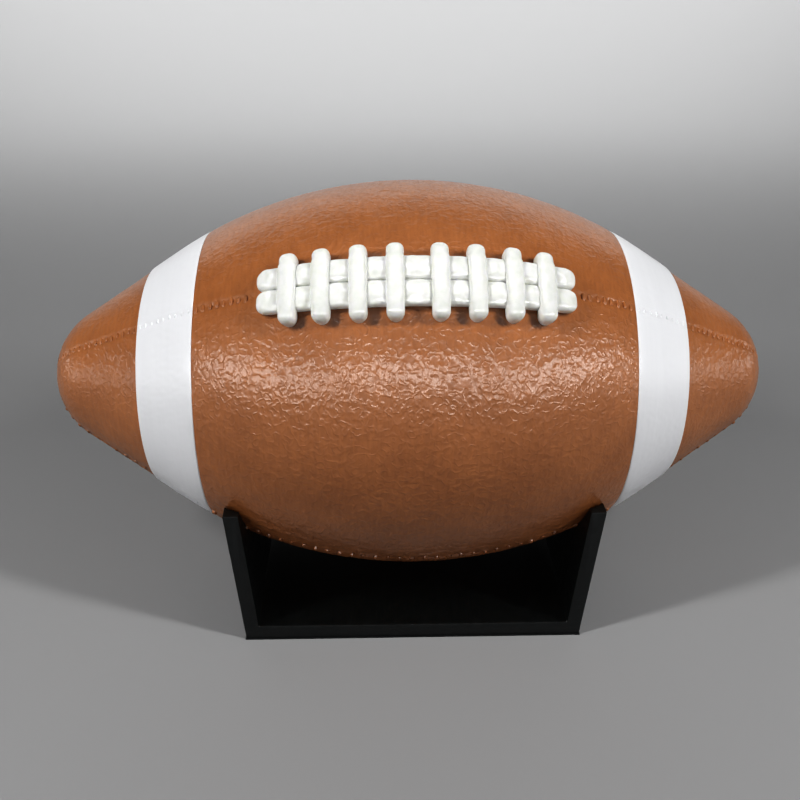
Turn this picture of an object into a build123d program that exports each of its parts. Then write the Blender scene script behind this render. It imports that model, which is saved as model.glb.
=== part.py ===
from build123d import *
import os
from math import acos, asin, atan2, cos, degrees, hypot, radians, sin

# Display football on a cradle stand. Millimetres, +Z up. The origin is under the middle of the
# stand, on the surface it stands on. The ball's long axis runs along X, and its laces are on the
# front (-Y), above the middle.

# Ball: a surface of revolution, with a circular flank, a straight taper and a round nose.
half_length = 141.3
ball_radius = 76.0
flank_radius = 165.0
nose_radius = 29.5
wall = 4.0
axis_height = 87.0

# Split lines of the ball, measured along its axis from the middle.
stripe_inner = 78.0
stripe_outer = 100.5

# Push-fit end caps: each cap's spigot slides in a neck behind its stripe ring.
cap_wall = 3.5
cap_step = 0.5
spigot_length = 12.0
spigot_radius = 36.0
spigot_wall = 3.0
spigot_clearance = 0.3
neck_wall = 3.0
flange = 3.5

# Glued joint between a stripe ring and the centre shell: a lip in a rebate.
lip_length = 5.0
lip_radius = 54.0
lip_wall = 3.0
glue_gap = 0.1

# Laces: two strands side by side on the seam, and bars that arch over them.
lace_elevation = 51.0
strand_height = 3.6
strand_gap = 0.3
strand_width = 8.6
strand_half_length = 53.7
bar_width = 5.8
bar_height = 6.2
bar_reach = 14.0
bar_places = (7.2, 19.1, 31.1, 41.9)
bar_rounding = 1.8
strand_rounding = 1.4
peg_radius = 1.5
peg_length = 2.5
peg_clearance = 0.1
peg_inset = 2.6

# Cradle stand: a base plate with two uprights that lean outwards, hollowed to the ball.
stand_depth = 121.0
stand_height = 60.0
base_half_width = 66.0
top_half_width = 70.5
upright_thickness = 5.8
base_thickness = 6.6
seat_clearance = 0.3

# The flank and the nose share a tangent line, the straight taper, at this slope to the axis.
flank_drop = flank_radius - ball_radius
nose_centre = half_length - nose_radius
centre_distance = hypot(nose_centre, flank_drop)
taper = degrees(atan2(nose_centre, flank_drop) - acos((flank_radius - nose_radius) / centre_distance))

ball_centre = Vector(0, 0, axis_height)
ball_axis = Axis(ball_centre, (1, 0, 0))


def section_plane(turn):
    """Plane through the ball's axis, its y direction turned down from the laces by turn degrees."""
    elevation = radians(lace_elevation - turn)
    return Plane(origin=ball_centre, x_dir=(1, 0, 0), z_dir=(0, -sin(elevation), -cos(elevation)))


def outline(grow):
    """Half of the ball's outline, grown by grow all round and closed along the axis."""
    with BuildSketch() as half:
        with BuildLine():
            nose_right = CenterArc((nose_centre, 0), nose_radius + grow, 0, 90 - taper)
            flank = CenterArc((0, -flank_drop), flank_radius + grow, 90 - taper, 2 * taper)
            nose_left = CenterArc((-nose_centre, 0), nose_radius + grow, 90 + taper, 90 - taper)
            Line(nose_right @ 1, flank @ 0)
            Line(flank @ 1, nose_left @ 0)
            Line(nose_left @ 1, nose_right @ 0)
        make_face()
    return half.sketch


def peg_planes(place):
    """Planes on the ball's surface, one at each end of the bar at place, facing outwards."""
    tilt = asin(place / flank_radius)
    radius = flank_radius * cos(tilt) - flank_drop
    planes = []
    for side in (-1, 1):
        turn = side * (bar_turn - degrees(peg_inset / ball_radius))
        elevation = radians(lace_elevation - turn)
        outward = Vector(0, -cos(elevation), sin(elevation))
        foot = ball_centre + Vector(place, 0, 0) + outward * radius
        planes.append(Plane(origin=foot, z_dir=Vector(sin(tilt), 0, 0) + outward * cos(tilt)))
    return planes


strand_start = degrees(strand_gap / 2 / ball_radius)
strand_stop = degrees((strand_gap / 2 + strand_width) / ball_radius)
bar_turn = degrees(bar_reach / ball_radius)
bar_positions = [-place for place in reversed(bar_places)] + list(bar_places)

outer_face = outline(0)
inner_face = outline(-wall)
cap_outer_face = outline(-cap_step)
cap_inner_face = outline(-cap_step - cap_wall)

with BuildPart() as ball_envelope:
    with BuildSketch(section_plane(0)):
        add(outline(seat_clearance))
    revolve(axis=ball_axis)

# Stand: one printed piece.
with BuildPart() as stand:
    with BuildSketch(Plane.XZ):
        with BuildLine():
            lean = (top_half_width - base_half_width) / stand_height
            inner_foot = base_half_width + lean * base_thickness - upright_thickness
            Polyline(
                (-base_half_width, 0),
                (base_half_width, 0),
                (top_half_width, stand_height),
                (top_half_width - upright_thickness, stand_height),
                (inner_foot, base_thickness),
                (-inner_foot, base_thickness),
                (-top_half_width + upright_thickness, stand_height),
                (-top_half_width, stand_height),
                close=True,
            )
        make_face()
    extrude(amount=stand_depth / 2, both=True)
    add(ball_envelope.part, mode=Mode.SUBTRACT)
stand.part.label = "stand"

# Centre shell: the long middle section, open at both ends, with sockets for the lace pegs.
with BuildPart() as centre_shell:
    with BuildSketch(section_plane(0)):
        add(outer_face)
        add(inner_face, mode=Mode.SUBTRACT)
        with Locations((0, ball_radius / 2)):
            Rectangle(2 * stripe_inner, ball_radius, mode=Mode.INTERSECT)
    revolve(axis=ball_axis)
    for side in (-1, 1):
        with BuildSketch(Plane.YZ.offset(side * stripe_inner)):
            with Locations((0, axis_height)):
                Circle(lip_radius)
        extrude(amount=-side * lip_length, mode=Mode.SUBTRACT)
    for place in bar_positions:
        for peg_plane in peg_planes(place):
            with BuildSketch(peg_plane):
                Circle(peg_radius + peg_clearance)
            extrude(amount=-peg_length - peg_clearance, mode=Mode.SUBTRACT)
centre_shell.part.label = "centre_shell"

# Stripe rings: each has a lip towards the centre shell and a neck for its end cap.
stripe_width = stripe_outer - stripe_inner
stripe_middle = (stripe_outer + stripe_inner) / 2
neck_radius = spigot_radius + spigot_clearance
with BuildPart() as stripe_ring_right:
    with BuildSketch(section_plane(0)):
        add(outer_face)
        add(inner_face, mode=Mode.SUBTRACT)
        with Locations((stripe_middle, ball_radius / 2)):
            Rectangle(stripe_width, ball_radius, mode=Mode.INTERSECT)
        with Locations((stripe_outer - spigot_length / 2, neck_radius + neck_wall / 2)):
            Rectangle(spigot_length, neck_wall)
        with Locations((stripe_outer - flange / 2, neck_radius + neck_wall)):
            Rectangle(flange, 2 * neck_wall)
        with Locations((stripe_inner, lip_radius - glue_gap - lip_wall / 2)):
            Rectangle(2 * (lip_length - glue_gap), lip_wall)
        add(outer_face, mode=Mode.INTERSECT)
    revolve(axis=ball_axis)
stripe_ring_right.part.label = "stripe_ring_right"

# End caps: each closes its end of the ball with a plain spigot.
with BuildPart() as end_cap_right:
    with BuildSketch(section_plane(0)):
        add(cap_outer_face)
        add(cap_inner_face, mode=Mode.SUBTRACT)
        with Locations(((stripe_outer + half_length) / 2, ball_radius / 2)):
            Rectangle(half_length - stripe_outer, ball_radius, mode=Mode.INTERSECT)
        with Locations((stripe_outer + flange / 2, spigot_radius)):
            Rectangle(flange, 2 * spigot_wall)
        with Locations((stripe_outer - spigot_length / 2 + flange / 2, spigot_radius - spigot_wall / 2)):
            Rectangle(spigot_length + flange, spigot_wall)
        add(cap_outer_face, mode=Mode.INTERSECT)
    revolve(axis=ball_axis)
end_cap_right.part.label = "end_cap_right"

# The left ring and cap are the right ones mirrored in the middle plane.
with BuildPart() as stripe_ring_left:
    mirror(stripe_ring_right.part, about=Plane.YZ)
stripe_ring_left.part.label = "stripe_ring_left"

with BuildPart() as end_cap_left:
    mirror(end_cap_right.part, about=Plane.YZ)
end_cap_left.part.label = "end_cap_left"

# Lace strands: two bands that follow the ball, one on each side of the seam.
strand_half_angle = degrees(asin(strand_half_length / flank_radius))
strands = []
for name, start in (("lace_strand_upper", -strand_stop), ("lace_strand_lower", strand_start)):
    with BuildPart() as strand:
        with BuildSketch(section_plane(start)):
            with BuildLine():
                top = CenterArc(
                    (0, -flank_drop), flank_radius + strand_height, 90 - strand_half_angle, 2 * strand_half_angle
                )
                foot = CenterArc((0, -flank_drop), flank_radius, 90 - strand_half_angle, 2 * strand_half_angle)
                Line(top @ 0, foot @ 0)
                Line(top @ 1, foot @ 1)
            make_face()
        revolve(axis=ball_axis, revolution_arc=strand_stop - strand_start)
        top_face = strand.faces().sort_by(Axis(ball_centre, section_plane(0).y_dir))[-1]
        fillet(top_face.edges(), strand_rounding)
    strand.part.label = name
    strands.append(strand)

# Lace bars: each arches over both strands, and a foot at each end reaches the ball with a peg.
bar_half_angle = degrees(bar_width / 2 / flank_radius)
bars = []
for number, place in enumerate(bar_positions, start=1):
    bar_angle = 90 - degrees(asin(place / flank_radius)) - bar_half_angle
    with BuildPart() as bar:
        for start, stop, low, high in (
            (-bar_turn, bar_turn, strand_height, bar_height),
            (-bar_turn, -strand_stop, 0, bar_height),
            (strand_stop, bar_turn, 0, bar_height),
        ):
            with BuildSketch(section_plane(start)):
                with BuildLine():
                    top = CenterArc((0, -flank_drop), flank_radius + high, bar_angle, 2 * bar_half_angle)
                    foot = CenterArc((0, -flank_drop), flank_radius + low, bar_angle, 2 * bar_half_angle)
                    Line(top @ 0, foot @ 0)
                    Line(top @ 1, foot @ 1)
                make_face()
            revolve(axis=ball_axis, revolution_arc=stop - start)
        outer_side = bar.faces().sort_by(Axis(ball_centre, section_plane(0).y_dir))[-1]
        fillet(outer_side.edges(), bar_rounding)
        for peg_plane in peg_planes(place):
            with BuildSketch(peg_plane):
                Circle(peg_radius)
            extrude(amount=-peg_length)
    bar.part.label = f"lace_bar_{number}"
    bars.append(bar)

os.makedirs("parts", exist_ok=True)
pieces = [stand, centre_shell, stripe_ring_left, stripe_ring_right, end_cap_left, end_cap_right]
for piece in pieces + strands + bars:
    export_step(piece.part, f"parts/{piece.part.label}.step")
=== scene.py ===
from itertools import product
from math import acos, asin, atan2, cos, hypot, pi, radians, sin, tau

import bmesh
import bpy
import numpy as np
from mathutils import Matrix, Vector


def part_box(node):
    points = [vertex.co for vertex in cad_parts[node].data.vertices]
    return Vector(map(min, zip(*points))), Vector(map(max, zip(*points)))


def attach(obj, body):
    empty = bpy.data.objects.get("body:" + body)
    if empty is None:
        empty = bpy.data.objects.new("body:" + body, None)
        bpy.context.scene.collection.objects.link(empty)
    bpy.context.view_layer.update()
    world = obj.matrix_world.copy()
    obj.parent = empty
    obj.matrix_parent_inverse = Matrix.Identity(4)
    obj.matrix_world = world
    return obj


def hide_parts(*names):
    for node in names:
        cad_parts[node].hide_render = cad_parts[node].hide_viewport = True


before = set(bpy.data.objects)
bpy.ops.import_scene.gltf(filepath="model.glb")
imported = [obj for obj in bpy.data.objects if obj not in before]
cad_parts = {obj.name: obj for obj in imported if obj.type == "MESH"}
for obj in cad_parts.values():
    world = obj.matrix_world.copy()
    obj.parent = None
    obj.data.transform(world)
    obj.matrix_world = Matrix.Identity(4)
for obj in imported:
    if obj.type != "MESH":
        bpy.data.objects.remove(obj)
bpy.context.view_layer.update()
MM = 0.001

# Sizes and places of the CAD pieces.
shell_low, shell_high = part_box("centre_shell")
ring_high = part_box("stripe_ring_right")[1]
cap_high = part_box("end_cap_right")[1]
stand_low, stand_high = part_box("stand")
ball_radius = (shell_high.z - shell_low.z) / 2
axis_height = (shell_high.z + shell_low.z) / 2
stripe_inner = shell_high.x
stripe_outer = ring_high.x
cap_step = 0.5 * MM
half_length = cap_high.x + cap_step

# The ball's outline: circular flank, straight taper, round nose. Distances along it start from the
# middle, where the ball is thickest.
flank_radius = 165 * MM
nose_radius = 29.5 * MM
flank_drop = flank_radius - ball_radius
nose_centre = half_length - nose_radius
centre_distance = hypot(nose_centre, flank_drop)
taper = atan2(nose_centre, flank_drop) - acos((flank_radius - nose_radius) / centre_distance)
flank_end = flank_radius * taper
taper_start = (flank_radius * sin(taper), flank_radius * cos(taper) - flank_drop)
nose_start = flank_end + (nose_centre + nose_radius * sin(taper) - taper_start[0]) / cos(taper)
outline_length = nose_start + nose_radius * (pi / 2 - taper)

# Walls and joints of the ball's pieces.
wall = 4 * MM
cap_wall = 3.5 * MM
spigot_radius = 36 * MM
spigot_wall = 3 * MM
spigot_length = 12 * MM
neck_radius = 36.3 * MM
neck_wall = 3 * MM
flange = 3.5 * MM
lip_length = 4.9 * MM
lip_radius = 53.9 * MM
lip_wall = 3 * MM
glue_gap = 0.1 * MM

# The four seams run along the ball, the first of them under the laces.
lace_elevation = radians(51)
seam_step = pi / 2


def outline(along):
    """Axial place, radius and slope of the outline, at distances along it from the middle."""
    along = np.asarray(along, float)
    side = np.where(along < 0, -1.0, 1.0)
    far = np.abs(along)
    nose_slope = taper + (far - nose_start) / nose_radius
    taper_place = taper_start[0] + (far - flank_end) * cos(taper)
    taper_radius = taper_start[1] - (far - flank_end) * sin(taper)
    on_flank = far <= flank_end
    on_nose = far > nose_start
    slope = np.where(on_flank, far / flank_radius, np.where(on_nose, nose_slope, taper))
    place = np.where(
        on_flank,
        flank_radius * np.sin(slope),
        np.where(on_nose, nose_centre + nose_radius * np.sin(slope), taper_place),
    )
    radius = np.where(
        on_flank,
        flank_radius * np.cos(slope) - flank_drop,
        np.where(on_nose, nose_radius * np.cos(slope), taper_radius),
    )
    return side * place, radius, side * slope


def along_at(place):
    """Distance along the outline at an axial place on the flank or the taper."""
    if place <= taper_start[0]:
        return flank_radius * asin(place / flank_radius)
    return flank_end + (place - taper_start[0]) / cos(taper)


def around(place, radius, turn):
    """Points at an axial place and radius, turned down from the laces by turn."""
    elevation = lace_elevation - turn
    back = -radius * np.cos(elevation)
    height = axis_height + radius * np.sin(elevation)
    return np.stack(np.broadcast_arrays(place, back, height), axis=-1)


def surface_point(along, turn, height):
    """Points at a height over the ball's surface."""
    place, radius, slope = outline(along)
    return around(place + height * np.sin(slope), radius + height * np.cos(slope), turn)


# Noise, from tables of random vectors.
def random_table(seed):
    return np.random.default_rng(seed).uniform(-1, 1, (4096, 3))


def table_row(table, cell):
    mixed = cell[..., 0] * 73856093 ^ cell[..., 1] * 19349663 ^ cell[..., 2] * 83492791
    return table[mixed & (len(table) - 1)]


def smooth_noise(points, size, seed):
    """Gradient noise, about -1 to 1, with features about size across."""
    table = random_table(seed)
    scaled = points / size
    cell = np.floor(scaled).astype(np.int64)
    inside = scaled - cell
    fade = inside**3 * (inside * (inside * 6 - 15) + 10)
    total = np.zeros(scaled.shape[:-1])
    for corner in product((0, 1), repeat=3):
        ramp = ((inside - corner) * table_row(table, cell + corner)).sum(axis=-1)
        total += ramp * np.where(corner, fade, 1 - fade).prod(axis=-1)
    return total * 1.5


def pebble_noise(points, size, seed):
    """0 on the creases between irregular pebbles about size across, rising inside them."""
    table = (random_table(seed) + 1) / 2
    scaled = points / size
    cell = np.floor(scaled).astype(np.int64)
    nearest = np.full(scaled.shape[:-1], 9.0)
    second = nearest.copy()
    for step in product((-1, 0, 1), repeat=3):
        neighbour = cell + step
        distance = np.linalg.norm(neighbour + table_row(table, neighbour) - scaled, axis=-1)
        second = np.minimum(second, np.maximum(nearest, distance))
        nearest = np.minimum(nearest, distance)
    return second - nearest


def bend(points, size, amount, seed):
    """Points pushed about by smooth noise."""
    push = np.stack([smooth_noise(points, size, seed + k) for k in range(3)], axis=-1)
    return points + amount * push


# Sizes of the grain's features.
bend_size = 3.2 * MM
bend_amount = 1.1 * MM
pebble_size = 2.9 * MM
fold_size = 2.9 * MM
wrinkle_size = 1.9 * MM
swell_size = 8 * MM


def grain(points):
    """Height of the printed leather grain, about -0.2 to 0.2 mm, and calmer towards the stripes."""
    bent = bend(points, bend_size, bend_amount, 11)
    pebbles = np.minimum(pebble_noise(bent, pebble_size, 21) / 0.25, 1)
    folds = 1 - np.abs(smooth_noise(bent, fold_size, 31))
    wrinkles = 1 - np.abs(smooth_noise(bent, wrinkle_size, 41))
    swell = smooth_noise(points, swell_size, 51)
    strength = 1 - 0.38 * np.clip(np.abs(points[..., 0]) / stripe_inner, 0, 1) ** 2
    relief = 0.09 * pebbles + 0.125 * folds**4 + 0.125 * wrinkles**3 - 0.22
    return MM * (strength * relief + 0.04 * swell)


def seam_distance(radius, turn):
    """Distance round the ball from the nearest seam."""
    return ((turn + seam_step / 2) % seam_step - seam_step / 2) * radius


crease_reach = 11 * MM
crease_size = 2.3 * MM
crease_stretch = 5
groove_reach = 1.4 * MM


def seam_relief(points, radius, turn):
    """A pressed line along each seam, and long creases beside it that are parallel to it."""
    across = seam_distance(radius, turn)
    near = np.exp(-((across / crease_reach) ** 2))
    layer = np.round(turn / seam_step) * 9 * MM
    stretched = np.stack(
        np.broadcast_arrays(points[..., 0] / crease_stretch, across, layer), axis=-1
    )
    creases = 1 - np.abs(smooth_noise(stretched, crease_size, 61))
    groove = np.exp(-((across / groove_reach) ** 4))
    # The creases are faint beside the laces and strongest on the lower front seam. They fade out
    # towards the nose.
    on_lace_seam = np.minimum(turn, tau - turn) < 0.5
    on_front_seam = turn < 0.75 * pi
    strength = np.where(on_lace_seam, 0.1, np.where(on_front_seam, 1.1, 0.6))
    strength = strength * np.clip((radius - 18 * MM) / (44 * MM), 0, 1)
    ends = np.clip((radius - 8 * MM) / (20 * MM), 0, 1)
    return MM * ends * (0.55 * strength * near * creases**3 - 0.45 * groove)


def add_piece(name, mesh, material, body):
    mesh.materials.append(material)
    piece = bpy.data.objects.new(name, mesh)
    bpy.context.scene.collection.objects.link(piece)
    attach(piece, body)
    return piece


def build_mesh(name, points, faces, sharp_angle=radians(45)):
    """A smooth mesh with its doubled points joined and its faces turned outwards."""
    form = bmesh.new()
    corners = [form.verts.new(point) for point in points]
    for face in faces:
        form.faces.new([corners[index] for index in face])
    bmesh.ops.remove_doubles(form, verts=form.verts, dist=1e-7)
    bmesh.ops.recalc_face_normals(form, faces=form.faces)
    mesh = bpy.data.meshes.new(name)
    form.to_mesh(mesh)
    form.free()
    mesh.shade_smooth()
    mesh.set_sharp_from_angle(angle=sharp_angle)
    return mesh


def grid_faces(rows, columns, closed_rows, closed_columns=True):
    """Quads between the rows and columns of a grid of points."""
    faces = []
    for row in range(rows if closed_rows else rows - 1):
        below = (row + 1) % rows
        for column in range(columns if closed_columns else columns - 1):
            beside = (column + 1) % columns
            corners = (row * columns + column, row * columns + beside)
            faces.append((*corners, below * columns + beside, below * columns + column))
    return faces


def turned_skin(name, relief, outer_along, plain_section, columns):
    """A closed shell turned round the ball's axis: relief outside, and plain walls inside.

    The relief is laid over the outline at the distances in outer_along. The plain section's points
    are axial places and radii. They carry on from the last outer row and lead back to the first,
    or end on the axis.
    """
    turn = np.linspace(0, tau, columns, endpoint=False)[None, :]
    place, radius, slope = (value[:, None] for value in outline(outer_along))
    height = relief(around(place, radius, turn), radius, turn, np.asarray(outer_along)[:, None])
    outer = around(place + height * np.sin(slope), radius + height * np.cos(slope), turn)
    inner = [around(*plain_point, turn[0]) for plain_point in plain_section]
    points = np.concatenate([outer, np.array(inner)])
    open_ended = plain_section[-1][1] == 0
    faces = grid_faces(len(points), columns, closed_rows=not open_ended)
    return build_mesh(name, points.reshape(-1, 3), faces)


def wall_section(from_along, to_along, depth, rows):
    """Axial places and radii of a line inside the outline, at a depth."""
    place, radius, slope = outline(np.linspace(from_along, to_along, rows))
    return list(zip(place - depth * np.sin(slope), radius - depth * np.cos(slope)))


# Materials.
def new_material(name, color, roughness):
    material = bpy.data.materials.new(name)
    material.use_nodes = True
    tree = material.node_tree
    shader = tree.nodes["Principled BSDF"]
    shader.inputs["Base Color"].default_value = (*color, 1)
    shader.inputs["Roughness"].default_value = roughness
    return material, tree, shader


def noise_node(tree, stretch, scale, detail=2.0):
    """Noise over the object's own coordinates, in millimetres, stretched by x, y and z."""
    place = tree.nodes.new("ShaderNodeTexCoord")
    mapping = tree.nodes.new("ShaderNodeMapping")
    mapping.inputs["Scale"].default_value = [1000 * value for value in stretch]
    noise = tree.nodes.new("ShaderNodeTexNoise")
    noise.inputs["Scale"].default_value = scale
    noise.inputs["Detail"].default_value = detail
    tree.links.new(place.outputs["Object"], mapping.inputs["Vector"])
    tree.links.new(mapping.outputs["Vector"], noise.inputs["Vector"])
    return noise.outputs["Fac"]


def ramp_node(tree, factor, stops):
    """A colour ramp from (position, colour) stops."""
    ramp = tree.nodes.new("ShaderNodeValToRGB")
    points = ramp.color_ramp.elements
    for point, (position, color) in zip(points, (stops[0], stops[-1])):
        point.position = position
        point.color = (*color, 1)
    for position, color in stops[1:-1]:
        points.new(position).color = (*color, 1)
    tree.links.new(factor, ramp.inputs["Fac"])
    return ramp.outputs["Color"]


def range_node(tree, factor, low, high):
    """A factor spread over low to high."""
    spread = tree.nodes.new("ShaderNodeMapRange")
    spread.inputs["From Min"].default_value = 0.3
    spread.inputs["From Max"].default_value = 0.7
    spread.inputs["To Min"].default_value = low
    spread.inputs["To Max"].default_value = high
    tree.links.new(factor, spread.inputs["Value"])
    return spread.outputs["Result"]


def vary_roughness(tree, shader, factor, low, high):
    tree.links.new(range_node(tree, factor, low, high), shader.inputs["Roughness"])


def add_bump(tree, shader, height, depth, strength, under=None):
    """A bump of a depth in metres, over another bump if one is given."""
    bump = tree.nodes.new("ShaderNodeBump")
    bump.inputs["Strength"].default_value = strength
    bump.inputs["Distance"].default_value = depth
    tree.links.new(height, bump.inputs["Height"])
    if under:
        tree.links.new(under, bump.inputs["Normal"])
    tree.links.new(bump.outputs["Normal"], shader.inputs["Normal"])
    return bump.outputs["Normal"]


def multiply_color(tree, color, factor, low, high):
    """A colour darkened and lightened by a factor spread over low to high."""
    mix = tree.nodes.new("ShaderNodeMix")
    mix.data_type = "RGBA"
    mix.blend_type = "MULTIPLY"
    mix.inputs["Factor"].default_value = 1
    tree.links.new(color, mix.inputs[6])
    shade = tree.nodes.new("ShaderNodeCombineColor")
    value = range_node(tree, factor, low, high)
    for channel in ("Red", "Green", "Blue"):
        tree.links.new(value, shade.inputs[channel])
    tree.links.new(shade.outputs["Color"], mix.inputs[7])
    return mix.outputs[2]


def leather_material():
    """Brown print: a matt skin with a sharper coat, over streaks, ripples and fine ridges."""
    material, tree, shader = new_material("brown_print", (0.3, 0.1, 0.03), 0.35)
    patches = noise_node(tree, (1, 1, 1), 0.05, 3)
    color = ramp_node(tree, patches, [(0.35, (0.336, 0.126, 0.038)), (0.65, (0.384, 0.148, 0.047))])
    streaks = noise_node(tree, (1, 0.2, 0.2), 0.9, 1)
    color = multiply_color(tree, color, streaks, 0.92, 1.06)
    tree.links.new(color, shader.inputs["Base Color"])
    vary_roughness(tree, shader, noise_node(tree, (1, 1, 1), 0.7), 0.50, 0.60)
    shader.inputs["Specular IOR Level"].default_value = 0.35
    shader.inputs["Coat Weight"].default_value = 0.8
    shader.inputs["Coat Roughness"].default_value = 0.22
    shader.inputs["Coat IOR"].default_value = 1.42
    layers = add_bump(tree, shader, streaks, 0.05 * MM, 1.0)
    wrinkles = noise_node(tree, (1, 1, 1), 0.36, 1)
    ridges = ramp_node(tree, wrinkles, [(0.40, (0, 0, 0)), (0.5, (1, 1, 1)), (0.60, (0, 0, 0))])
    ripples = add_bump(tree, shader, noise_node(tree, (1, 1, 1), 0.6, 0), 0.10 * MM, 1.0, layers)
    fine = add_bump(tree, shader, ridges, 0.07 * MM, 1.0, ripples)
    tree.links.new(fine, shader.inputs["Coat Normal"])
    return material


def ring_material():
    """White print: satin, with faint layer lines round the ball's axis."""
    material, tree, shader = new_material("white_print", (0.8, 0.8, 0.82), 0.35)
    streaks = noise_node(tree, (1, 0.02, 0.02), 0.8, 3)
    color = ramp_node(tree, streaks, [(0.3, (0.775, 0.778, 0.795)), (0.7, (0.79, 0.793, 0.81))])
    shader.inputs["Specular IOR Level"].default_value = 0.4
    tree.links.new(color, shader.inputs["Base Color"])
    vary_roughness(tree, shader, noise_node(tree, (1, 1, 1), 0.7), 0.28, 0.42)
    add_bump(tree, shader, noise_node(tree, (1, 0.5, 0.5), 0.6, 1), 0.03 * MM, 1.0)
    return material


def lace_material():
    """Pearly white print: clouded, glossy and slightly see-through."""
    material, tree, shader = new_material("pearl_print", (0.82, 0.83, 0.78), 0.25)
    cloud = noise_node(tree, (1, 1, 1), 0.35, 3)
    pearl_stops = [
        (0.3, (0.745, 0.76, 0.715)),
        (0.5, (0.79, 0.795, 0.76)),
        (0.7, (0.82, 0.815, 0.805)),
    ]
    color = ramp_node(tree, cloud, pearl_stops)
    tree.links.new(color, shader.inputs["Base Color"])
    vary_roughness(tree, shader, cloud, 0.12, 0.26)
    shader.inputs["Subsurface Weight"].default_value = 0.35
    shader.inputs["Subsurface Radius"].default_value = (1.6 * MM, 1.6 * MM, 1.3 * MM)
    shader.inputs["Subsurface Scale"].default_value = 1
    layers = add_bump(tree, shader, noise_node(tree, (0.05, 1, 1), 3.0, 1), 0.04 * MM, 0.5)
    add_bump(tree, shader, noise_node(tree, (1, 1, 1), 1.0, 2), 0.06 * MM, 0.5, layers)
    return material


def stand_material():
    """Black print: satin, with flat layer lines."""
    material, tree, shader = new_material("black_print", (0.006, 0.006, 0.007), 0.45)
    streaks = noise_node(tree, (1, 0.03, 1), 1.2, 2)
    black_stops = [(0.3, (0.0035, 0.0045, 0.0045)), (0.7, (0.006, 0.0075, 0.0075))]
    color = ramp_node(tree, streaks, black_stops)
    shader.inputs["Specular IOR Level"].default_value = 0.45
    tree.links.new(color, shader.inputs["Base Color"])
    vary_roughness(tree, shader, noise_node(tree, (1, 1, 1), 0.3), 0.36, 0.50)
    layers = add_bump(tree, shader, noise_node(tree, (0.03, 0.03, 1), 2.4, 1), 0.05 * MM, 0.6)
    add_bump(tree, shader, noise_node(tree, (1, 0.04, 0.2), 1.6, 1), 0.03 * MM, 0.5, layers)
    return material


brown = leather_material()
white = ring_material()
pearl = lace_material()
black = stand_material()


# Ball: centre shell, stripe rings and end caps. Their relief fades out at the joints between them,
# where the brown skins lie a little under the outline.
edge_round = 0.5 * MM
edge_dip = 0.1 * MM
fade_reach = 2.5 * MM


def rounded_edges(along, first, last, depth=edge_round):
    """Height of a skin whose first and last rows round over into its ends."""
    reach = np.minimum(np.abs(along - first), np.abs(along - last))
    inside = np.clip(reach / depth, 0, 1)
    return -depth * (1 - np.sqrt(1 - (1 - inside) ** 2))


def edge_rows(first, last, count):
    """Distances from first to last, with extra rows where the edges round over."""
    way = 1 if last > first else -1
    steps = edge_round * np.array([0, 0.07, 0.27, 0.6])
    middle = np.linspace(first + way * edge_round, last - way * edge_round, count)
    return np.concatenate([first + way * steps, middle, (last - way * steps)[::-1]])


shell_edge = along_at(stripe_inner)
ring_edge = along_at(stripe_outer)


def edge_fade(along, first, last):
    """0 at the edges, rising to 1 a little way in."""
    reach = np.minimum(np.abs(along - first), np.abs(along - last))
    return np.clip(reach / fade_reach, 0, 1)


def shell_relief(points, radius, turn, along):
    fade = edge_fade(along, -shell_edge, shell_edge)
    relief = fade * (grain(points) + seam_relief(points, radius, turn) + edge_dip) - edge_dip
    return relief + 0.4 * rounded_edges(along, -shell_edge, shell_edge)


def ring_relief(points, radius, turn, along):
    fade = edge_fade(np.abs(along), shell_edge, ring_edge)
    relief = fade * (0.7 * grain(points) + 0.7 * seam_relief(points, radius, turn) + edge_dip)
    return relief + 0.5 * rounded_edges(np.abs(along), shell_edge, ring_edge)


def cap_relief(points, radius, turn, along):
    fade = np.clip((np.abs(along) - ring_edge) / fade_reach, 0, 1)
    relief = fade * (grain(points) + seam_relief(points, radius, turn) + edge_dip)
    return relief - edge_dip - cap_step


def add_centre_shell():
    """The shell's section: the wall, with a rebate at each end for a ring's lip."""
    rebate = lip_radius + glue_gap
    inner_edge = shell_edge - lip_length / cos(shell_edge / flank_radius)
    inner_place = stripe_inner - lip_length - glue_gap
    section = [(stripe_inner, rebate), (inner_place, rebate)]
    section += wall_section(inner_edge, -inner_edge, wall, 9)
    section += [(-inner_place, rebate), (-stripe_inner, rebate)]
    rows = edge_rows(-shell_edge, shell_edge, 158)
    mesh = turned_skin("centre_shell_skin", shell_relief, rows, section, 540)
    piece = add_piece("centre_shell_skin", mesh, brown, "ball")
    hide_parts("centre_shell")


def add_stripe_ring(side, name):
    """A ring's section: the wall, then the flange and neck that hold the cap, and the glued lip."""
    neck_outer = neck_radius + neck_wall
    inner_wall = wall_section(along_at(stripe_outer - flange), along_at(stripe_inner), wall, 9)
    section = [
        (stripe_outer, neck_radius),
        (stripe_outer - spigot_length, neck_radius),
        (stripe_outer - spigot_length, neck_outer),
        (stripe_outer - flange, neck_outer),
        *inner_wall[:-1],
        (stripe_inner, lip_radius - lip_wall),
        (stripe_inner - lip_length, lip_radius - lip_wall),
        (stripe_inner - lip_length, lip_radius),
        (stripe_inner, lip_radius),
    ]
    rows = edge_rows(side * shell_edge, side * ring_edge, 26)
    section = [(side * place, radius) for place, radius in section]
    mesh = turned_skin(f"{name}_skin", ring_relief, rows, section, 480)
    piece = add_piece(f"{name}_skin", mesh, white, "ball")
    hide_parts(name)


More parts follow.
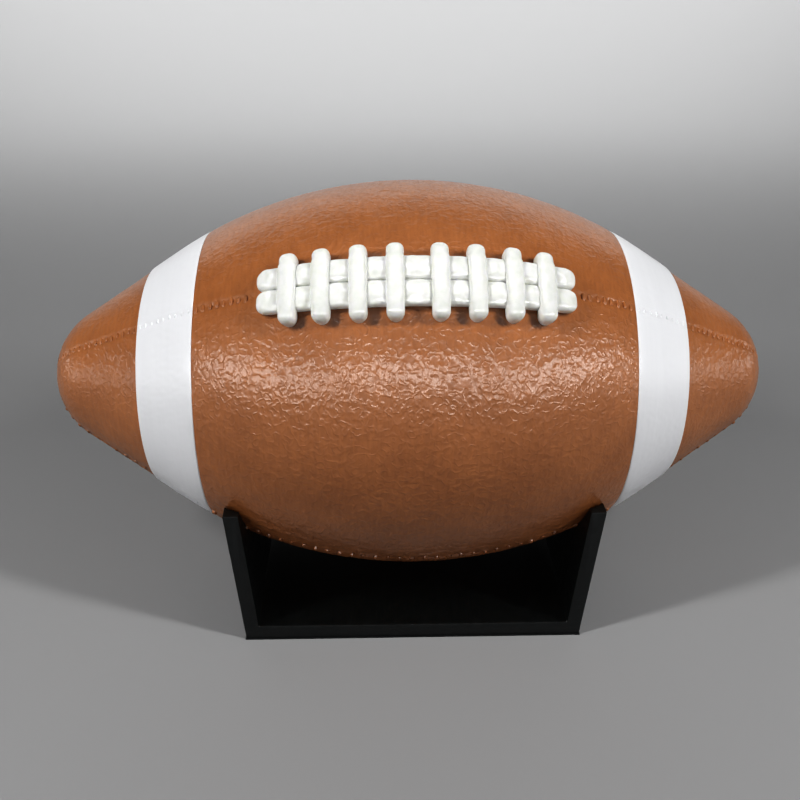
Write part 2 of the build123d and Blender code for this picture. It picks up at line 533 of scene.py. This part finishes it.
def add_end_cap(side, name, body):
    """A cap's section: the wall round the nose, and the spigot that slides into the ring's neck."""
    spigot_inner = spigot_radius - spigot_wall
    cap_depth = cap_step + cap_wall
    inner_wall = wall_section(outline_length, along_at(stripe_outer + flange), cap_depth, 14)
    rim_radius = outline(ring_edge)[1] - cap_step
    # The chain starts at the outer pole, so the outer rows run from the nose to the rim.
    rows = side * np.concatenate(
        [np.linspace(outline_length, nose_start, 40), np.linspace(nose_start, ring_edge, 40)[1:]]
    )
    section = [
        (stripe_outer, rim_radius - cap_wall),
        (stripe_outer, spigot_radius),
        (stripe_outer - spigot_length + flange / 2, spigot_radius),
        (stripe_outer - spigot_length + flange / 2, spigot_inner),
        (stripe_outer + flange, spigot_inner),
        (stripe_outer + flange, inner_wall[-1][1]),
        *inner_wall[::-1][1:-1],
        (half_length - cap_depth, 0),
    ]
    section = [(side * place, radius) for place, radius in section]
    mesh = turned_skin(f"{name}_skin", cap_relief, rows, section, 360)
    piece = add_piece(f"{name}_skin", mesh, brown, body)
    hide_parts(name)


add_centre_shell()
for side, word in ((-1, "left"), (1, "right")):
    add_stripe_ring(side, f"stripe_ring_{word}")
    add_end_cap(side, f"end_cap_{word}", f"{word}_cap")


# Stitches: short raised beads that lie across each seam, closer together on the lace seam.
lace_pitch = 2.9 * MM
seam_pitch = 4.6 * MM
stitch_size = np.array([3.4, 1.85, 0.85]) * MM
stitch_sink = 0.6 * MM
bead_rows, bead_corners = 7, 10
strand_end = 53.7 * MM


def bead_points(along, turn, length, width, height, depth):
    """A bead across a seam: rings of points that shrink towards its top and its bottom."""
    radius = outline(along)[1]
    corner = np.linspace(0, tau, bead_corners, endpoint=False)[None, :]
    level = np.linspace(0, pi, bead_rows)[:, None]
    spread = np.sin(level) ** 0.5
    bead_along = along + width / 2 * spread * np.cos(corner)
    bead_turn = turn + length / 2 * spread * np.sin(corner) / radius
    return surface_point(bead_along, bead_turn, height * np.cos(level) - stitch_sink - depth)


def add_stitches(name, spans, depth, scale, material, body, seam_rise=1.5):
    """Rows of beads on the seams, over spans measured along the outline.

    A span has the seam's number from the laces down. All but the laced seam, 0, have wider and
    higher beads.
    """
    random = np.random.default_rng(7)
    points = []
    faces = []
    for seam, (first, last) in spans:
        pitch = seam_pitch if seam else lace_pitch
        for along in np.arange(first + pitch / 2, last - pitch / 3, pitch):
            along = along + random.normal(0, 0.15 * MM)
            turn = seam * seam_step + random.normal(0, 0.15 * MM) / ball_radius
            length, width, height = random.uniform(0.8, 1.15, 3) * scale * stitch_size
            height *= seam_rise if seam else 1
            width *= 1.15 if seam else 1
            bead = bead_points(along, turn, length, width, height, depth)
            bead_faces = grid_faces(bead_rows, bead_corners, closed_rows=False)
            faces += [[index + len(points) for index in face] for face in bead_faces]
            points += list(bead.reshape(-1, 3))
    mesh = build_mesh(name, points, faces)
    add_piece(name, mesh, material, body)


ring_sink = -0.25 * MM
lace_edge = along_at(strand_end + 2.5 * MM)
nose_edge = outline_length - 9 * MM
shell_spans = [(0, (-shell_edge, -lace_edge)), (0, (lace_edge, shell_edge))]
shell_spans += [(seam, (-shell_edge, shell_edge)) for seam in (1, 2, 3)]
add_stitches("shell_stitches", shell_spans, 0, 1, brown, "ball", seam_rise=2)
for side, word in ((-1, "left"), (1, "right")):
    ring_span = sorted((side * shell_edge, side * ring_edge))
    cap_span = sorted((side * ring_edge, side * nose_edge))
    ring_spans = [(seam, ring_span) for seam in range(4)]
    cap_spans = [(seam, cap_span) for seam in range(4)]
    ring_name, cap_name = f"ring_stitches_{word}", f"cap_stitches_{word}"
    add_stitches(ring_name, ring_spans, ring_sink, 0.5, white, "ball")
    add_stitches(cap_name, cap_spans, cap_step, 0.8, brown, f"{word}_cap")


# Laces: two puffed strands, and eight bars that arch over them.
strand_gap = 0.3 * MM
strand_width = 8.6 * MM
strand_height = 3.6 * MM
strand_crown = 4.5 * MM
bar_width = 5.8 * MM
bar_height = 5.9 * MM
bar_reach = 13.7 * MM
bar_names = sorted(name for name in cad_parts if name.startswith("lace_bar"))
bar_places = [(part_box(name)[0].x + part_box(name)[1].x) / 2 for name in bar_names]


def round_end(way, half, rounding, power=2.4):
    """Half width at a way along a strip that ends in round lobes, as a share of the full width."""
    past = np.clip((np.abs(way) - (half - rounding)) / rounding, 0, 1)
    return (1 - past**power) ** (1 / power)


def tube_section(count, squareness):
    """Points round a rounded rectangle 2 wide and 2 high."""
    corner = np.linspace(0, tau, count, endpoint=False)
    wide = np.sign(np.cos(corner)) * np.abs(np.cos(corner)) ** squareness
    high = np.sign(np.sin(corner)) * np.abs(np.sin(corner)) ** squareness
    return wide, high


def add_strand(name, side):
    """A strand beside the seam, puffed up between the bars and pinched under them."""
    half = strand_end / cos(0.17)
    way = half * np.sin(np.linspace(-pi / 2, pi / 2, 320))
    wide, high = tube_section(40, 0.7)
    way, wide, high = way[:, None], wide[None, :], high[None, :]
    share = round_end(way, half, 4.6 * MM)
    middle = side * (strand_gap + strand_width) / 2
    pinch = sum(np.exp(-(((way - place * 1.012) / (3.6 * MM)) ** 2)) for place in bar_places)
    puff = strand_crown * (1 - 0.13 * pinch)
    half_width = strand_width / 2 * share + 0.12 * MM
    foot = -0.5 * MM
    across = middle + wide * half_width
    height = (puff * share**0.6 + foot) / 2 + high * (puff * share**0.6 - foot) / 2
    points = surface_point(way, across / ball_radius, height)
    lumps = 0.45 * MM * smooth_noise(points, 2.7 * MM, 71) * np.clip(high, 0, 1) * share
    points = surface_point(way, across / ball_radius, height + lumps)
    mesh = build_mesh(name, points.reshape(-1, 3), grid_faces(len(points), 40, closed_rows=False))
    piece = add_piece(f"{name}_soft", mesh, pearl, "ball")
    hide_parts(name)


def add_bar(name, place, seed):
    """A flat bar across the strands, whose blunt ends turn down to the ball."""
    along = along_at(abs(place)) * (1 if place > 0 else -1)
    way = bar_reach * np.sin(np.linspace(-pi / 2, pi / 2, 130))
    wide, high = tube_section(40, 0.62)
    way, wide, high = way[:, None], wide[None, :], high[None, :]
    share = round_end(way, bar_reach, 2.9 * MM, 2.2)
    shoulder = round_end(way, bar_reach + 0.2 * MM, 3.8 * MM, 2)
    top = bar_height * (0.5 + 0.5 * shoulder) * share**0.2
    inside = np.clip((strand_width + 0.2 * MM - np.abs(way)) / (1.2 * MM), 0, 1)
    foot = -0.5 * MM + (strand_height - 0.7 * MM) * inside
    height = (top + foot) / 2 + high * (top - foot) / 2
    half_width = 1.04 * bar_width / 2 * share
    points = surface_point(along + wide * half_width, way / ball_radius, height)
    lumps = 0.10 * MM * smooth_noise(points, 2.8 * MM, seed) * share
    crown = 1 - 0.05 * wide**2
    height = (height - foot) * crown + foot + lumps * np.clip(high, 0, 1)
    points = surface_point(along + wide * (half_width + lumps), way / ball_radius, height)
    mesh = build_mesh(name, points.reshape(-1, 3), grid_faces(len(points), 40, closed_rows=False))
    piece = add_piece(f"{name}_soft", mesh, pearl, "ball")
    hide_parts(name)


add_strand("lace_strand_upper", -1)
add_strand("lace_strand_lower", 1)
for number, (name, place) in enumerate(zip(bar_names, bar_places)):
    add_bar(name, place, 80 + number)


# Stand: a base and two leaning uprights, hollowed to the ball.
stand_height = stand_high.z
base_half_width = 66 * MM
lean = (stand_high.x - base_half_width) / stand_height
upright_thickness = 5.8 * MM
base_thickness = 6.6 * MM
seat_clearance = 0.3 * MM
foot_spread = 0.35 * MM
foot_height = 0.6 * MM
edge_break = 0.4 * MM
foot_break = 0.2 * MM


def seat_height(place, back):
    """Height of the uprights' top, which is cut back where the ball sits."""
    ball = np.sqrt(flank_radius**2 - place**2) - flank_drop + seat_clearance
    hollow = axis_height - np.sqrt(np.maximum(ball**2 - back**2, 0))
    return np.where(np.abs(back) < ball, np.minimum(stand_height, hollow), stand_height)


def stand_section(back):
    """The stand's outline across its width at a depth, as places and heights."""
    places = stand_high.x - upright_thickness * np.linspace(0, 1, 5)
    tops = [seat_height(place, back) for place in places]
    steps = np.linspace(0, 1, 16)
    outer_z = steps * tops[0]
    inner_z = base_thickness + (tops[-1] - base_thickness) * steps[::-1]
    outer = [(base_half_width + lean * z, z) for z in outer_z]
    shift = [lean * (stand_height - top) for top in tops]
    land = [(place - moved, top) for place, moved, top in zip(places, shift, tops)][1:-1]
    inner = [(base_half_width + lean * z - upright_thickness, z) for z in inner_z]
    floor_x = np.linspace(inner[-1][0], 0, 10)[1:]
    under_x = np.linspace(0, base_half_width, 10)[1:-1]
    half = outer + land + inner + [(x, base_thickness) for x in floor_x]
    mirrored = [(-x, z) for x, z in half[:-1]][::-1]
    under = [(x, 0) for x in -under_x[::-1]] + [(0, 0)] + [(x, 0) for x in under_x]
    return half + mirrored + under


def add_stand():
    middle = np.arange(-57, 57.1, 1.5) * MM
    backs = [stand_low.y, stand_low.y + 1.6 * MM, *middle, stand_high.y - 1.6 * MM, stand_high.y]
    sections = [stand_section(back) for back in backs]
    count = len(sections[0])
    form = bmesh.new()
    rows = [
        [form.verts.new((x, back, z)) for x, z in section] for back, section in zip(backs, sections)
    ]
    for near, far in zip(rows, rows[1:]):
        for index in range(count):
            after = (index + 1) % count
            form.faces.new((near[index], near[after], far[after], far[index]))
    form.faces.new(rows[0])
    form.faces.new(rows[-1][::-1])
    bmesh.ops.recalc_face_normals(form, faces=form.faces)
    corners = [edge for edge in form.edges if edge.calc_face_angle(0) > radians(40)]
    edges = {"segments": 2, "profile": 0.5, "affect": "EDGES"}
    bmesh.ops.bevel(form, geom=corners, offset=edge_break, clamp_overlap=True, **edges)
    # The first printed layers bulge out a little all round the base.
    foot = bmesh.ops.create_cube(form, size=1)["verts"]
    foot_width = 2 * (base_half_width + foot_spread)
    foot_depth = stand_high.y - stand_low.y + 2 * foot_spread
    bmesh.ops.scale(form, vec=(foot_width, foot_depth, foot_height), verts=foot)
    bmesh.ops.translate(form, vec=(0, 0, foot_height / 2), verts=foot)
    foot_edges = list({edge for vert in foot for edge in vert.link_edges})
    bmesh.ops.bevel(form, geom=foot_edges, offset=foot_break, **edges)
    mesh = bpy.data.meshes.new("stand_print")
    form.to_mesh(mesh)
    form.free()
    mesh.shade_smooth()
    mesh.set_sharp_from_angle(angle=radians(30))
    piece = add_piece("stand_print", mesh, black, "stand")
    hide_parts("stand")


add_stand()


# Stage: floor, lights and camera.
def add_floor():
    """A round paper floor that sweeps up into a low wall all round."""
    flat, bend_radius, wall_height = 0.8, 0.4, 1.2
    sweep = np.linspace(0, pi / 2, 13)
    radii = [0.0, *(flat + bend_radius * np.sin(sweep)), flat + bend_radius]
    heights = [0.0, *(bend_radius * (1 - np.cos(sweep))), wall_height]
    turn = np.linspace(0, tau, 96, endpoint=False)
    rows = [
        np.stack([radius * np.cos(turn), radius * np.sin(turn), np.full(96, height)], axis=-1)
        for radius, height in zip(radii, heights)
    ]
    mesh = build_mesh("floor", np.concatenate(rows), grid_faces(len(rows), 96, closed_rows=False))
    material, tree, shader = new_material("floor_paper", (0.312, 0.312, 0.314), 0.8)
    mesh.materials.append(material)
    floor = bpy.data.objects.new("floor", mesh)
    bpy.context.scene.collection.objects.link(floor)


def add_lamp(
    name, azimuth, elevation, distance, size, watts, diffuse=True, glossy=True, turned=None
):
    """A softbox, size wide and high, that faces the ball unless turned. Azimuth 0 is in front."""
    azimuth, elevation = radians(azimuth), radians(elevation)
    middle = Vector((0, 0, axis_height))
    away = Vector((sin(azimuth) * cos(elevation), -cos(azimuth) * cos(elevation), sin(elevation)))
    lamp = bpy.data.lights.new(name, "AREA")
    lamp.shape = "RECTANGLE"
    lamp.size, lamp.size_y = size
    lamp.energy = watts
    holder = bpy.data.objects.new(name, lamp)
    holder.visible_diffuse = diffuse
    holder.visible_glossy = glossy
    holder.location = middle + distance * away
    facing = Vector(turned) if turned else -away
    holder.rotation_euler = facing.to_track_quat("-Z", "Y").to_euler()
    bpy.context.scene.collection.objects.link(holder)


def add_world(color, strength):
    world = bpy.data.worlds.new("studio")
    world.use_nodes = True
    background = world.node_tree.nodes["Background"]
    background.inputs["Color"].default_value = (*color, 1)
    background.inputs["Strength"].default_value = strength
    bpy.context.scene.world = world


def add_camera():
    """A close camera in front and above, a little to the left of the ball's middle."""
    distance = 5.0822 * ball_radius
    right_shift = 0.05526 * ball_radius
    up_shift = 0.15181 * ball_radius
    pitch = radians(30)
    yaw = 0.026707
    roll = 0.0085154
    camera = bpy.data.cameras.new("front_view")
    camera.sensor_width = 36
    camera.lens = 42.75
    holder = bpy.data.objects.new("front_view", camera)
    level = Matrix.Rotation(pi / 2 - pitch, 3, "X")
    turn = (Matrix.Rotation(roll, 3, "Z") @ Matrix.Rotation(yaw, 3, "Y")).transposed()
    axes = level @ turn
    middle = Vector((0, 0, axis_height))
    place = middle + axes @ Vector((-right_shift, -up_shift, distance))
    holder.matrix_world = Matrix.Translation(place) @ axes.to_4x4()
    bpy.context.scene.collection.objects.link(holder)
    bpy.context.scene.camera = holder


add_floor()
add_world((0.9, 0.93, 1.0), 0.02)
add_lamp("left_lamp", -61, 40, 0.72, (0.05, 0.25), 2.7, glossy=False)
add_lamp("right_lamp", 61, 40, 0.72, (0.05, 0.25), 2.7, glossy=False)
strips = ((-88, 2, 0.5), (-47, 19, 2.4), (0, 27, 2.8), (47, 19, 2.6), (88, 2, 0.5))
for azimuth, elevation, watts in strips:
    add_lamp(f"strip_{azimuth}", azimuth, elevation, 0.80, (0.60, 0.10), watts, diffuse=False)
add_lamp("top_softbox", 0, 78, 1.0, (1.0, 0.5), 3.0, diffuse=False)
add_lamp("rear_softbox", 180, 34, 0.9, (1.4, 0.2), 8.0, turned=(0, 1, -1))
add_lamp("rear_sheen", 180, 36, 0.95, (1.6, 0.5), 1.3, diffuse=False)
add_lamp("front_softbox", 0, 34, 0.9, (1.4, 0.2), 0.8, glossy=False, turned=(0, -1, -1))
bpy.context.scene.view_settings.view_transform = "Standard"
bpy.context.scene.view_settings.look = "High Contrast"
add_camera()
